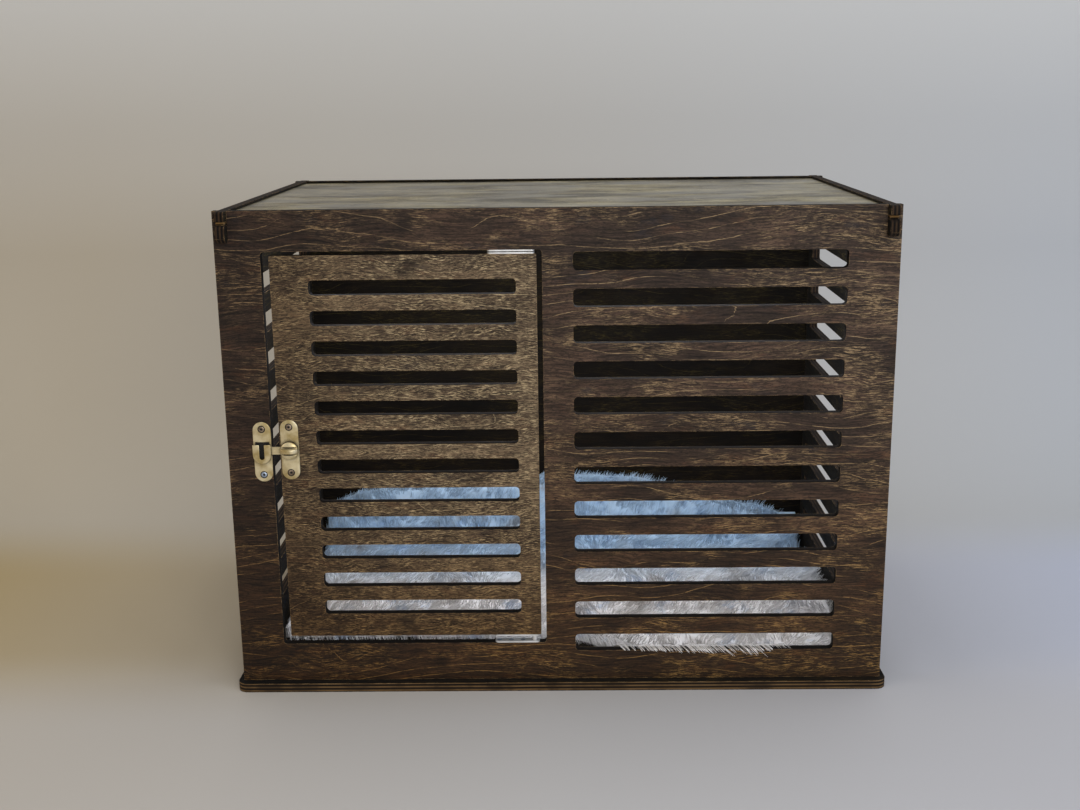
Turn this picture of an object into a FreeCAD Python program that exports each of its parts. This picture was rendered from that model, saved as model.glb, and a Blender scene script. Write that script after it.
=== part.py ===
import FreeCAD, Part
import math
import os

# A slotted plywood dog crate that serves as an end table.
# X runs to the right, the door side faces -Y and Z is up, all in millimetres.

# Plywood carcass; cuts run past a face by "past"
sheet = 8.5
body_width = 600.0
body_depth = 376.0
panel_height = 441.5
base_side_margin = 5.0
base_end_margin = 9.0
base_corner = 10.0
side_inset = 4.0
top_drop = 2.5
fit_gap = 0.2
floor_gap = 0.5
past = 1.0
end_flat = 0.01
same_place = 1e-6

# Tenons along the bottom edges and along the ends of the top
end_tenon_width = 60.0
end_tenon_spacing = 340.0
side_tenon_width = 50.0
side_tenon_spacing = 190.0
top_tenon_width = 46.0
top_tenon_spacing = 170.0
top_tenon_ease = 0.3

# Split snap tabs at the upper corners
notch_depth = 26.3
notch_gap = 0.3
notch_corner = 1.0
tab_reach = 10.0
tab_corner = 2.6
slit_height = 3.6
slit_drop = 8.8
slit_length = 42.0
barb_drop = 1.0
barb_length = 6.0

# Doorway and the slots beside it
doorway_inset = 40.0
doorway_width = 247.0
doorway_sill = 36.5
doorway_head = 36.0
doorway_corner = 3.0
post_width = 27.1
front_slot_height = 16.4
front_slot_count = 12
front_slot_drop = 38.3
front_slot_foot = 28.2
front_slot_margin = 44.9
slot_corner = 3.6
slot_corner_facets = 5

# Side slots
side_slot_margin = 30.0
side_slot_height = 19.8
side_slot_count = 9
side_slot_drop = 71.5
side_slot_foot = 35.8

# Door
door_gap_left = 7.3
door_gap_right = 4.9
door_gap_top = 3.5
door_gap_bottom = 8.0
door_corner = 1.5
door_slot_height = 13.5
door_slot_count = 12
door_slot_drop = 21.8
door_slot_foot = 21.9
door_slot_left = 33.4
door_slot_right = 18.2

# Pivot hinges in the top and bottom gaps of the door
leaf_length = 41.5
leaf_thickness = 1.3
leaf_corner = 2.5
leaf_tail = 4.5
pin_inset = 6.1
pin_radius = 1.5
collar_radius = 2.4
collar_play = 0.2
press_gap = 0.02
running_gap = 0.05
leaf_screw_count = 3
leaf_screw_pitch = 11.0
leaf_screw_inset = 3.7
leaf_screw_head = 2.2
leaf_screw_shank = 1.0
leaf_screw_length = 9.0
leaf_screw_sides = 12

# Turn latch on the door and its keeper on the frame
plate_width = 16.4
plate_length = 56.0
plate_thickness = 1.2
keeper_height = 224.2
keeper_edge = 0.2
latch_lift = 1.8
latch_edge = 1.0
plate_screw_spacing = 42.6
plate_screw_head = 2.9
plate_screw_shank = 1.3
plate_screw_length = 7.5
plate_screw_dome = 0.3
plate_screw_sides = 18
screw_slot_width = 0.7
screw_slot_depth = 0.5
screw_gap = 0.03
dome_share = 0.6
lip_height = 17.4
lip_rise = 7.4
lip_thickness = 1.1
lip_slot_width = 4.4
lip_slot_depth = 13.8
window_width = 12.0
window_margin = 1.6
lip_gap = 0.5
bar_gap = 0.6
bar_thickness = 1.8
bar_height = 6.8
bar_reach = 20.4
bar_hub = 6.0
bar_corner = 0.6
spindle_radius = 2.5
spindle_flange = 4.0
flange_thickness = 1.0
pocket_gap = 0.5
knob_radius = 8.0
knob_rim = 1.4
knob_dome = 2.6
knob_ridge = 5.8
knob_ridge_width = 6.2
knob_step = 0.3
knob_bore_depth = 3.0
knob_sides = 36
knob_bands = 4
knob_flat = 0.1

# Shaggy mat that lies on the base and runs up the back panel. Its front edge goes through
# points of distance across from the middle, distance behind the front face and corner
# radius, and its top edge through points of distance across, height and corner radius
mat_thickness = 24.0
mat_side_gap = 4.0
mat_bend = 42.0
mat_gap = 0.3
mat_front_left = 96.0
mat_front_right = 14.0
mat_front_edge = [(-60.0, 92.0, 60.0), (30.0, 72.0, 60.0), (100.0, 20.0, 50.0)]
mat_left_height = 58.0
mat_right_height = 30.0
mat_top_edge = [(250.0, 54.0, 30.0), (90.0, 92.0, 80.0), (-190.0, 84.0, 80.0)]

# Levels and faces that follow from the sizes above
half_width = body_width / 2
base_top = sheet
panel_top = base_top + panel_height
lip_front_reach = plate_thickness + bar_gap + bar_thickness + lip_gap + lip_thickness
knob_reach = plate_thickness + bar_gap + bar_thickness + knob_rim + knob_ridge
front_reach = max(knob_reach, lip_front_reach, tab_reach)
front_face = (front_reach - tab_reach - body_depth) / 2
front_inner = front_face + sheet
back_face = front_face + body_depth
back_inner = back_face - sheet
depth_middle = (front_face + back_face) / 2
side_outer = half_width - side_inset
side_inner = side_outer - sheet
notch_floor = panel_top - notch_depth
top_surface = panel_top - top_drop
top_under = top_surface - sheet
tenon_top = top_surface - top_tenon_ease

doorway_left = -half_width + doorway_inset
doorway_right = doorway_left + doorway_width
doorway_bottom = base_top + doorway_sill
doorway_top = panel_top - doorway_head
door_left = doorway_left + door_gap_left
door_right = doorway_right - door_gap_right
door_bottom = doorway_bottom + door_gap_bottom
door_top = doorway_top - door_gap_top
front_slot_left = doorway_right + post_width
front_slot_length = half_width - front_slot_margin - front_slot_left
door_slot_start = door_left + door_slot_left
door_slot_length = door_right - door_slot_right - door_slot_start
side_slot_length = body_depth - 2 * side_slot_margin

pin_x = door_right - pin_inset
pin_y = front_face + sheet / 2
leaf_right = pin_x + leaf_tail
leaf_left = leaf_right - leaf_length

keeper_x = doorway_left - keeper_edge - plate_width / 2
keeper_z = base_top + keeper_height
latch_x = door_left + latch_edge + plate_width / 2
latch_z = keeper_z + latch_lift
plate_front = front_face - plate_thickness
bar_back = plate_front - bar_gap
bar_front = bar_back - bar_thickness
lip_back = bar_front - lip_gap
lip_front = lip_back - lip_thickness


def vec(x, y, z):
    return FreeCAD.Vector(x, y, z)


def block(low, high):
    size = [b - a for a, b in zip(low, high)]
    return Part.makeBox(size[0], size[1], size[2], vec(*low))


def place(plane, a, b, level):
    """Turn a point drawn on the xy, xz or yz plane into a point in space."""
    if plane == "xy":
        return vec(a, b, level)
    if plane == "xz":
        return vec(a, level, b)
    return vec(level, a, b)


def corner_points(before, point, after, radius):
    """Start, middle and end of the arc that rounds one corner of an outline."""
    here = FreeCAD.Vector(point[0], point[1], 0)
    into = (FreeCAD.Vector(before[0], before[1], 0) - here).normalize()
    out = (FreeCAD.Vector(after[0], after[1], 0) - here).normalize()
    half = into.getAngle(out) / 2
    reach = radius / math.tan(half)
    middle = (into + out).normalize() * (radius / math.sin(half) - radius)
    return here + into * reach, here + middle, here + out * reach


def outline_face(points, plane, level, facets=0):
    """Face inside straight runs; a point may carry a corner radius as its third value."""
    edges = []
    count = len(points)
    joints = []
    for i, point in enumerate(points):
        radius = point[2] if len(point) > 2 else 0.0
        if radius > 0:
            joints.append(corner_points(points[i - 1], point, points[(i + 1) % count], radius))
        else:
            here = FreeCAD.Vector(point[0], point[1], 0)
            joints.append((here, here, here))
    for i, (start, middle, end) in enumerate(joints):
        spots = [place(plane, p.x, p.y, level) for p in (start, middle, end)]
        if (start - end).Length > same_place:
            arc = Part.Arc(*spots)
            if facets:
                bends = arc.discretize(facets + 1)
                edges += [Part.makeLine(a, b) for a, b in zip(bends, bends[1:])]
            else:
                edges.append(arc.toShape())
        following = joints[(i + 1) % count][0]
        target = place(plane, following.x, following.y, level)
        if (spots[2] - target).Length > same_place:
            edges.append(Part.makeLine(spots[2], target))
    return Part.Face(Part.Wire(edges))


def plate(points, plane, start, end, facets=0):
    """Sheet with the given outline between two levels across its plane."""
    across = {"xy": vec(0, 0, 1), "xz": vec(0, 1, 0), "yz": vec(1, 0, 0)}[plane]
    return outline_face(points, plane, start, facets).extrude(across * (end - start))


def rectangle(a0, b0, a1, b1, radius=0.0):
    return [(a0, b0, radius), (a1, b0, radius), (a1, b1, radius), (a0, b1, radius)]


def cylinder(radius, start, end):
    along = end - start
    return Part.makeCylinder(radius, along.Length, start, along)


def slot_cuts(plane, a0, length, top, foot, height, count, start, end):
    """A ladder of equal slots between two levels, as solids to cut from a sheet."""
    pitch = (top - foot - height) / (count - 1)
    cuts = []
    for i in range(count):
        upper = top - i * pitch
        ends = rectangle(a0, upper - height, a0 + length, upper, slot_corner)
        cuts.append(plate(ends, plane, start, end, slot_corner_facets))
    return Part.makeCompound(cuts)


def spread(centre, spacing):
    return (centre - spacing / 2, centre + spacing / 2)


# Screws

def turned(profile, sides):
    """Solid with flat facets, from rings of (radius, depth) round the z axis."""
    angles = [2 * math.pi * i / sides for i in range(sides)]
    rings = [[vec(r * math.cos(a), r * math.sin(a), depth) for a in angles]
             for r, depth in profile]
    outlines = [rings[0], rings[-1]]
    for near, far in zip(rings, rings[1:]):
        for i in range(sides):
            j = (i + 1) % sides
            outlines.append([near[i], near[j], far[j], far[i]])
    faces = [Part.Face(Part.makePolygon(outline + outline[:1])) for outline in outlines]
    solid = Part.makeSolid(Part.makeShell(faces))
    if solid.Volume < 0:
        solid.reverse()
    return solid


def leaf_screw(seat, along):
    """Countersunk screw; seat is on the leaf's face and along points into the wood."""
    depth = leaf_screw_head - leaf_screw_shank
    profile = [(leaf_screw_head, 0), (leaf_screw_shank, depth), (leaf_screw_shank, leaf_screw_length)]
    return aim(turned(profile, leaf_screw_sides), seat, along)


def plate_screw(seat, along):
    """Raised countersunk screw with a slotted head."""
    depth = plate_screw_head - plate_screw_shank
    profile = [(plate_screw_head * dome_share, -plate_screw_dome), (plate_screw_head, 0),
               (plate_screw_shank, depth), (plate_screw_shank, plate_screw_length)]
    drive = block((-plate_screw_head, -screw_slot_width / 2, -plate_screw_dome - past),
                  (plate_screw_head, screw_slot_width / 2, screw_slot_depth - plate_screw_dome))
    return aim(turned(profile, plate_screw_sides).cut(drive), seat, along)


def screw_hole(seat, along, head, shank, length, sides):
    """The space a screw takes, with its gap, opened out past the plate's face."""
    wide = head + screw_gap
    slim = shank + screw_gap
    profile = [(wide, -past), (wide, 0), (slim, head - shank), (slim, length + screw_gap)]
    return aim(turned(profile, sides), seat, along)


def aim(shape, seat, along):
    shape.Placement = FreeCAD.Placement(seat, FreeCAD.Rotation(vec(0, 0, 1), along))
    return shape


# Hinges: each has a frame leaf, a door leaf, a stepped pin and two rows of screws

def hinge(frame_level, door_level):
    """Levels and directions of the hinge in the gap between frame edge and door edge."""
    up = 1 if door_level > frame_level else -1
    return {
        "up": up,
        "frame": (frame_level, frame_level + up * leaf_thickness),
        "door": (door_level, door_level - up * leaf_thickness),
    }


upper_hinge = hinge(doorway_top, door_top)
lower_hinge = hinge(doorway_bottom, door_bottom)


def leaf_screw_places(level):
    xs = [leaf_left + leaf_screw_inset + i * leaf_screw_pitch for i in range(leaf_screw_count)]
    return [vec(x, pin_y, level) for x in xs]


def leaf_screws(levels):
    """Screws whose heads are flush with the leaf's open side."""
    inward = vec(0, 0, 1 if levels[0] > levels[1] else -1)
    return [leaf_screw(spot, inward) for spot in leaf_screw_places(levels[1])]


def leaf_screw_holes(levels):
    inward = vec(0, 0, 1 if levels[0] > levels[1] else -1)
    sizes = (leaf_screw_head, leaf_screw_shank, leaf_screw_length, leaf_screw_sides)
    holes = [screw_hole(spot, inward, *sizes) for spot in leaf_screw_places(levels[1])]
    return Part.makeCompound(holes)


def leaf(levels, bore):
    low, high = sorted(levels)
    points = rectangle(leaf_left, front_face, leaf_right, front_inner, leaf_corner)
    solid = plate(points, "xy", low, high, slot_corner_facets)
    solid = solid.cut(leaf_screw_holes(levels))
    return solid.cut(cylinder(bore, vec(pin_x, pin_y, low - past), vec(pin_x, pin_y, high + past)))


def hinge_pin(parts, play):
    """Pin fixed in the frame leaf, with a collar that keeps the two leaves apart."""
    start, collar_start = parts["frame"]
    end, collar_end = parts["door"]
    collar_end = collar_end - parts["up"] * play
    core = cylinder(pin_radius, vec(pin_x, pin_y, start), vec(pin_x, pin_y, end))
    collar = cylinder(collar_radius, vec(pin_x, pin_y, collar_start), vec(pin_x, pin_y, collar_end))
    return core.fuse(collar).removeSplitter()


# Carcass panels

def end_tenons(y0, y1, gap=0.0):
    """Tenons below a front or back panel; with a gap they are the base's mortises."""
    low = floor_gap if gap == 0 else -past
    cuts = []
    for x in spread(0, end_tenon_spacing):
        half = end_tenon_width / 2 + gap
        cuts.append(block((x - half, y0 - gap, low), (x + half, y1 + gap, base_top)))
    return cuts


def side_tenons(side, gap=0.0):
    low = floor_gap if gap == 0 else -past
    x0, x1 = sorted((side * side_inner, side * side_outer))
    cuts = []
    for y in spread(depth_middle, side_tenon_spacing):
        half = side_tenon_width / 2 + gap
        cuts.append(block((x0 - gap, y - half, low), (x1 + gap, y + half, base_top)))
    return cuts


def top_tenons(side, gap=0.0):
    """Tenons at one end of the top; with a gap they are the side panel's mortises."""
    x0 = side * side_inner
    x1 = side * (side_outer - floor_gap) if gap == 0 else side * (side_outer + past)
    x0, x1 = sorted((x0, x1))
    cuts = []
    for y in spread(depth_middle, top_tenon_spacing):
        half = top_tenon_width / 2 + gap
        cuts.append(block((x0, y - half, top_under - gap), (x1, y + half, tenon_top + gap)))
    return cuts


def base_panel():
    x = half_width + base_side_margin
    points = rectangle(-x, front_face - base_end_margin, x, back_face + base_end_margin, base_corner)
    solid = plate(points, "xy", 0, base_top)
    cuts = end_tenons(front_face, front_inner, fit_gap) + end_tenons(back_inner, back_face, fit_gap)
    cuts += side_tenons(1, fit_gap) + side_tenons(-1, fit_gap)
    return solid.cut(Part.makeCompound(cuts))


def end_outline():
    """Front and back panels share an outline with an open notch near each top corner."""
    outer = side_outer + notch_gap
    inner = side_inner - notch_gap
    right = [(half_width, base_top), (half_width, panel_top), (outer, panel_top),
             (outer, notch_floor, notch_corner), (inner, notch_floor, notch_corner),
             (inner, panel_top)]
    left = [(-point[0],) + tuple(point[1:]) for point in reversed(right)]
    return right + left


def front_panel():
    solid = plate(end_outline(), "xz", front_face, front_inner)
    doorway = rectangle(doorway_left, doorway_bottom, doorway_right, doorway_top, doorway_corner)
    solid = solid.cut(plate(doorway, "xz", front_face - past, front_inner + past))
    solid = solid.cut(slot_cuts("xz", front_slot_left, front_slot_length,
                                panel_top - front_slot_drop, base_top + front_slot_foot,
                                front_slot_height, front_slot_count,
                                front_face - past, front_inner + past))
    solid = solid.multiFuse(end_tenons(front_face, front_inner)).removeSplitter()
    solid = solid.cut(leaf_screw_holes(upper_hinge["frame"]))
    solid = solid.cut(leaf_screw_holes(lower_hinge["frame"]))
    return solid.cut(plate_screw_holes(keeper_x, keeper_z))


def back_panel():
    solid = plate(end_outline(), "xz", back_inner, back_face)
    return solid.multiFuse(end_tenons(back_inner, back_face)).removeSplitter()


def tab_end(face, out):
    """Split tab that passes through a notch; out is -1 at the front and 1 at the back."""
    tip = face + out * tab_reach
    root = face - out * (sheet + past)
    barb = face + out * barb_length
    slit_top = panel_top - slit_drop
    underside = notch_floor + notch_gap
    upper = [(root, slit_top), (tip, slit_top, tab_corner / 2), (tip, panel_top, tab_corner),
             (root, panel_top)]
    lower = [(root, underside), (face, underside), (face, notch_floor - barb_drop),
             (barb, notch_floor - barb_drop), (tip, notch_floor + tab_corner),
             (tip, slit_top - slit_height, tab_corner), (root, slit_top - slit_height)]
    web = [(root, slit_top - slit_height), (root + out * past, slit_top - slit_height),
           (root + out * past, slit_top), (root, slit_top)]
    return upper, lower, web


def side_panel(side):
    x0, x1 = sorted((side * side_inner, side * side_outer))
    solid = plate(rectangle(front_inner, base_top, back_inner, panel_top), "yz", x0, x1)
    pieces = []
    for face, out in ((front_face, -1), (back_face, 1)):
        pieces += [plate(points, "yz", x0, x1) for points in tab_end(face, out)]
    solid = solid.multiFuse(pieces + side_tenons(side)).removeSplitter()
    slit_top = panel_top - slit_drop
    for face, out in ((front_face, -1), (back_face, 1)):
        inner_end = face - out * (slit_length - tab_reach)
        y0, y1 = sorted((face + out * (tab_reach + past), inner_end))
        slit = rectangle(y0, slit_top - slit_height, y1, slit_top, slit_height / 2 - end_flat)
        solid = solid.cut(plate(slit, "yz", x0 - past, x1 + past))
    solid = solid.cut(slot_cuts("yz", front_face + side_slot_margin, side_slot_length,
                                panel_top - side_slot_drop, base_top + side_slot_foot,
                                side_slot_height, side_slot_count, x0 - past, x1 + past))
    return solid.cut(Part.makeCompound(top_tenons(side, fit_gap)))


def top_panel():
    solid = block((-side_inner, front_inner, top_under), (side_inner, back_inner, top_surface))
    return solid.multiFuse(top_tenons(1) + top_tenons(-1)).removeSplitter()


def door_panel():
    points = rectangle(door_left, door_bottom, door_right, door_top, door_corner)
    solid = plate(points, "xz", front_face, front_inner)
    solid = solid.cut(slot_cuts("xz", door_slot_start, door_slot_length,
                                door_top - door_slot_drop, door_bottom + door_slot_foot,
                                door_slot_height, door_slot_count,
                                front_face - past, front_inner + past))
    solid = solid.cut(leaf_screw_holes(upper_hinge["door"]))
    solid = solid.cut(leaf_screw_holes(lower_hinge["door"]))
    solid = solid.cut(plate_screw_holes(latch_x, latch_z))
    pocket = cylinder(spindle_flange + pocket_gap, vec(latch_x, front_face - past, latch_z),
                      vec(latch_x, front_face + flange_thickness + pocket_gap, latch_z))
    return solid.cut(pocket)


# Latch and keeper

def round_ended(x, z):
    """Outline of a plate with half-round ends, centred on x and z."""
    r = plate_width / 2 - end_flat
    half = plate_length / 2
    return rectangle(x - plate_width / 2, z - half, x + plate_width / 2, z + half, r)


def plate_screw_places(x, z):
    return [vec(x, plate_front, level) for level in spread(z, plate_screw_spacing)]


def plate_screws(x, z):
    return [plate_screw(spot, vec(0, 1, 0)) for spot in plate_screw_places(x, z)]


def plate_screw_holes(x, z):
    sizes = (plate_screw_head, plate_screw_shank, plate_screw_length, plate_screw_sides)
    holes = [screw_hole(spot, vec(0, 1, 0), *sizes) for spot in plate_screw_places(x, z)]
    return Part.makeCompound(holes)


def lip_outline(inset=0.0):
    """U-shaped lip: square at the top and half round at the bottom."""
    half = plate_width / 2 - inset
    top = keeper_z + lip_rise + inset
    bottom = keeper_z + lip_rise - lip_height + inset
    r = half - end_flat
    return [(keeper_x - half, bottom, r), (keeper_x + half, bottom, r),
            (keeper_x + half, top), (keeper_x - half, top)]


def keeper_plate():
    solid = plate(round_ended(keeper_x, keeper_z), "xz", plate_front, front_face)
    lip_top = keeper_z + lip_rise
    lip_bottom = lip_top - lip_height
    window = rectangle(keeper_x - window_width / 2, lip_bottom + window_margin,
                       keeper_x + window_width / 2, lip_top + window_margin, window_margin)
    solid = solid.cut(plate(window, "xz", plate_front - past, front_face + past))
    lip = plate(lip_outline(), "xz", lip_front, lip_back)
    slot = rectangle(keeper_x - lip_slot_width / 2, lip_top - lip_slot_depth,
                     keeper_x + lip_slot_width / 2, lip_top + lip_slot_width,
                     lip_slot_width / 2 - end_flat)
    lip = lip.cut(plate(slot, "xz", lip_front - past, lip_back + past))
    wall = plate(lip_outline(), "xz", lip_back, plate_front)
    wall = wall.cut(plate(lip_outline(lip_thickness), "xz", lip_back, plate_front))
    keep = block((keeper_x - plate_width, lip_back, lip_bottom),
                 (keeper_x + plate_width, plate_front, lip_bottom + plate_width / 4))
    solid = solid.multiFuse([lip, wall.common(keep)]).removeSplitter()
    return solid.cut(plate_screw_holes(keeper_x, keeper_z))


def latch_plate():
    solid = plate(round_ended(latch_x, latch_z), "xz", plate_front, front_face)
    bore = cylinder(spindle_radius + running_gap, vec(latch_x, plate_front - past, latch_z),
                    vec(latch_x, front_face + past, latch_z))
    return solid.cut(bore).cut(plate_screw_holes(latch_x, latch_z))


def latch_spindle():
    shaft = cylinder(spindle_radius, vec(latch_x, bar_front - knob_bore_depth, latch_z),
                     vec(latch_x, front_face + running_gap, latch_z))
    flange = cylinder(spindle_flange, vec(latch_x, front_face + running_gap, latch_z),
                      vec(latch_x, front_face + running_gap + flange_thickness, latch_z))
    return shaft.fuse(flange).removeSplitter()


def spindle_bore(y0, y1):
    return cylinder(spindle_radius + press_gap, vec(latch_x, y0, latch_z), vec(latch_x, y1, latch_z))


def latch_bar():
    half = bar_height / 2
    points = [(latch_x - bar_reach, latch_z - half, bar_corner), (latch_x, latch_z - half),
              (latch_x, latch_z + half), (latch_x - bar_reach, latch_z + half, bar_corner)]
    arm = plate(points, "xz", bar_front, bar_back)
    hub = cylinder(bar_hub, vec(latch_x, bar_front, latch_z), vec(latch_x, bar_back, latch_z))
    solid = arm.fuse(hub).removeSplitter()
    return solid.cut(spindle_bore(bar_front - past, bar_back + past))


def domed_disc(radius, rim, dome):
    """Round button with a straight rim and a domed face, its flat side on the bar."""
    sphere = (radius ** 2 + dome ** 2) / (2 * dome)
    profile = [(radius, 0)]
    for i in range(knob_bands):
        r = radius * (1 - i / knob_bands)
        profile.append((r, rim + dome - sphere + math.sqrt(sphere ** 2 - r ** 2)))
    profile.append((radius * knob_flat, rim + dome))
    return aim(turned(profile, knob_sides), vec(latch_x, bar_front, latch_z), vec(0, -1, 0))


def latch_knob():
    half = knob_ridge_width / 2
    band = block((latch_x - knob_radius, bar_front - knob_rim - knob_ridge - past, latch_z - half),
                 (latch_x + knob_radius, bar_front - knob_rim / 2, latch_z + half))
    ridge = domed_disc(knob_radius - knob_step, knob_rim, knob_ridge).common(band)
    solid = domed_disc(knob_radius, knob_rim, knob_dome).fuse(ridge)
    return solid.cut(spindle_bore(bar_front - knob_bore_depth - press_gap, bar_front + past))


# Mat

def mat():
    """Closed solid round the mat's pile: flat on the base and turned up the back panel."""
    y0 = front_face + mat_front_right - past
    y1 = back_inner - mat_gap
    z0 = base_top
    z1 = z0 + max(point[1] for point in mat_top_edge) + past
    section = [(y0, z0), (y1, z0, mat_bend), (y1, z1), (y1 - mat_thickness, z1),
               (y1 - mat_thickness, z0 + mat_thickness, mat_bend - mat_thickness),
               (y0, z0 + mat_thickness)]
    half = side_inner - mat_side_gap
    solid = plate(section, "yz", -half, half)
    top_edge = [(x, z0 + z, radius) for x, z, radius in mat_top_edge]
    above = [(-half, z0 + mat_left_height), (-half - past, z0 + mat_left_height),
             (-half - past, z1 + past), (half + past, z1 + past),
             (half + past, z0 + mat_right_height), (half, z0 + mat_right_height)] + top_edge
    solid = solid.cut(plate(above, "xz", y1 - mat_bend - past, y1 + past))
    left = front_face + mat_front_left
    right = front_face + mat_front_right
    front_edge = [(x, front_face + y, radius) for x, y, radius in mat_front_edge]
    before = [(-half - past, left)] + front_edge + [(half + past, right), (half + past, y0 - past),
                                                    (-half - past, y0 - past)]
    return solid.cut(plate(before, "xy", z0 - past, z0 + mat_thickness + past))


nodes = {
    "base_panel": base_panel(),
    "front_panel": front_panel(),
    "back_panel": back_panel(),
    "side_panel_left": side_panel(-1),
    "side_panel_right": side_panel(1),
    "top_panel": top_panel(),
    "door_panel": door_panel(),
    "keeper_plate": keeper_plate(),
    "latch_plate": latch_plate(),
    "latch_spindle": latch_spindle(),
    "latch_bar": latch_bar(),
    "latch_knob": latch_knob(),
    "floor_mat": mat(),
}

for name, parts, play in (("upper", upper_hinge, collar_play), ("lower", lower_hinge, 0.0)):
    nodes[name + "_hinge_frame_leaf"] = leaf(parts["frame"], pin_radius + press_gap)
    nodes[name + "_hinge_door_leaf"] = leaf(parts["door"], pin_radius + running_gap)
    nodes[name + "_hinge_pin"] = hinge_pin(parts, play)
    for side in ("frame", "door"):
        for i, solid in enumerate(leaf_screws(parts[side])):
            nodes["%s_hinge_%s_screw_%d" % (name, side, i + 1)] = solid

for name, x, z in (("keeper", keeper_x, keeper_z), ("latch", latch_x, latch_z)):
    for level, solid in zip(("lower", "upper"), plate_screws(x, z)):
        nodes["%s_screw_%s" % (name, level)] = solid

os.makedirs("parts", exist_ok=True)
for name, solid in nodes.items():
    print(name, "solids", len(solid.Solids), "volume %.1f" % solid.Volume, "valid", solid.isValid())
    solid.exportStep("parts/%s.step" % name)

whole = Part.makeCompound(list(nodes.values())).BoundBox
print("box x %.2f %.2f y %.2f %.2f z %.2f %.2f" % (whole.XMin, whole.XMax, whole.YMin, whole.YMax,
                                                    whole.ZMin, whole.ZMax))
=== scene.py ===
import math
import random

import bmesh
import bpy
from mathutils import Matrix, Vector, noise


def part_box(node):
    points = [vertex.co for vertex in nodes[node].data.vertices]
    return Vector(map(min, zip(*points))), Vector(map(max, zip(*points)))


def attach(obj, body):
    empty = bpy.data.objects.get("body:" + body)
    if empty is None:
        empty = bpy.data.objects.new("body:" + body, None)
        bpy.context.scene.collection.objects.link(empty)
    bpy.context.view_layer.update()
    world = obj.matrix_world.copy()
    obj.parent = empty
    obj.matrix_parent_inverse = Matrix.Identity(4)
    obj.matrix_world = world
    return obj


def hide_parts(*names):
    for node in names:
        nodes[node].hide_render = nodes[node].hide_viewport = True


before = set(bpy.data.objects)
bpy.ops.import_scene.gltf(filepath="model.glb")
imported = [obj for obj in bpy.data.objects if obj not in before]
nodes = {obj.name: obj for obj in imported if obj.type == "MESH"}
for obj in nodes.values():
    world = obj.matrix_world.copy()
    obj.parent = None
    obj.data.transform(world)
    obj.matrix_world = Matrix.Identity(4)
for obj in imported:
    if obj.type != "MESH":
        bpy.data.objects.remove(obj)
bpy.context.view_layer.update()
mm = 0.001


def linearColour(hexCode, alpha=1.0):
    channels = [int(hexCode[i:i + 2], 16) / 255 for i in (1, 3, 5)]
    linear = [c / 12.92 if c <= 0.04045 else ((c + 0.055) / 1.055) ** 2.4 for c in channels]
    return (*linear, alpha)


def add(tree, kind, settings=None, links=None):
    node = tree.nodes.new("ShaderNode" + kind)
    for name, value in (settings or {}).items():
        if isinstance(name, str) and name in node.bl_rna.properties:
            setattr(node, name, value)
        else:
            node.inputs[name].default_value = value
    for name, source in (links or {}).items():
        tree.links.new(source, node.inputs[name])
    return node


def newMaterial(name):
    material = bpy.data.materials.new(name)
    material.use_nodes = True
    tree = material.node_tree
    tree.nodes.clear()
    shader = add(tree, "BsdfPrincipled")
    add(tree, "OutputMaterial", links={"Surface": shader.outputs[0]})
    return material, tree, shader


def dress(nodeName, material):
    slots = nodes[nodeName].data.materials
    slots.clear()
    slots.append(material)


# Camera

cameraView = {
    "place": (8.351, -1335.78, 552.07),  # mm, fitted to the panel and slot lines
    "yaw": -0.012943, "pitch": 0.237809, "roll": -0.011383,
    "lens": 43.863, "shiftX": -0.01012, "shiftY": 0.00046,
}


def aimCamera(view):
    yaw, pitch, roll = view["yaw"], view["pitch"], view["roll"]
    level = math.cos(pitch)
    forward = Vector((math.sin(yaw) * level, math.cos(yaw) * level, -math.sin(pitch)))
    sideways = Vector((math.cos(yaw), -math.sin(yaw), 0))
    upright = sideways.cross(forward)
    right = math.cos(roll) * sideways + math.sin(roll) * upright
    up = -math.sin(roll) * sideways + math.cos(roll) * upright
    data = bpy.data.cameras.new("camera")
    data.lens = view["lens"]
    data.sensor_width = 36
    data.sensor_fit = "HORIZONTAL"
    data.shift_x = view["shiftX"]
    data.shift_y = view["shiftY"]
    data.clip_start = 0.01
    camera = bpy.data.objects.new("camera", data)
    bpy.context.scene.collection.objects.link(camera)
    turn = Matrix((right, up, -forward)).transposed().to_4x4()
    camera.matrix_world = Matrix.Translation(Vector(view["place"]) * mm) @ turn
    bpy.context.scene.camera = camera


aimCamera(cameraView)
print("camera placed")

# Stained birch plywood: rotary cut veneer under a walnut stain, so long wavy growth lines
# stay pale where the stain didn't take, and the cut edges show the veneers

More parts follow.
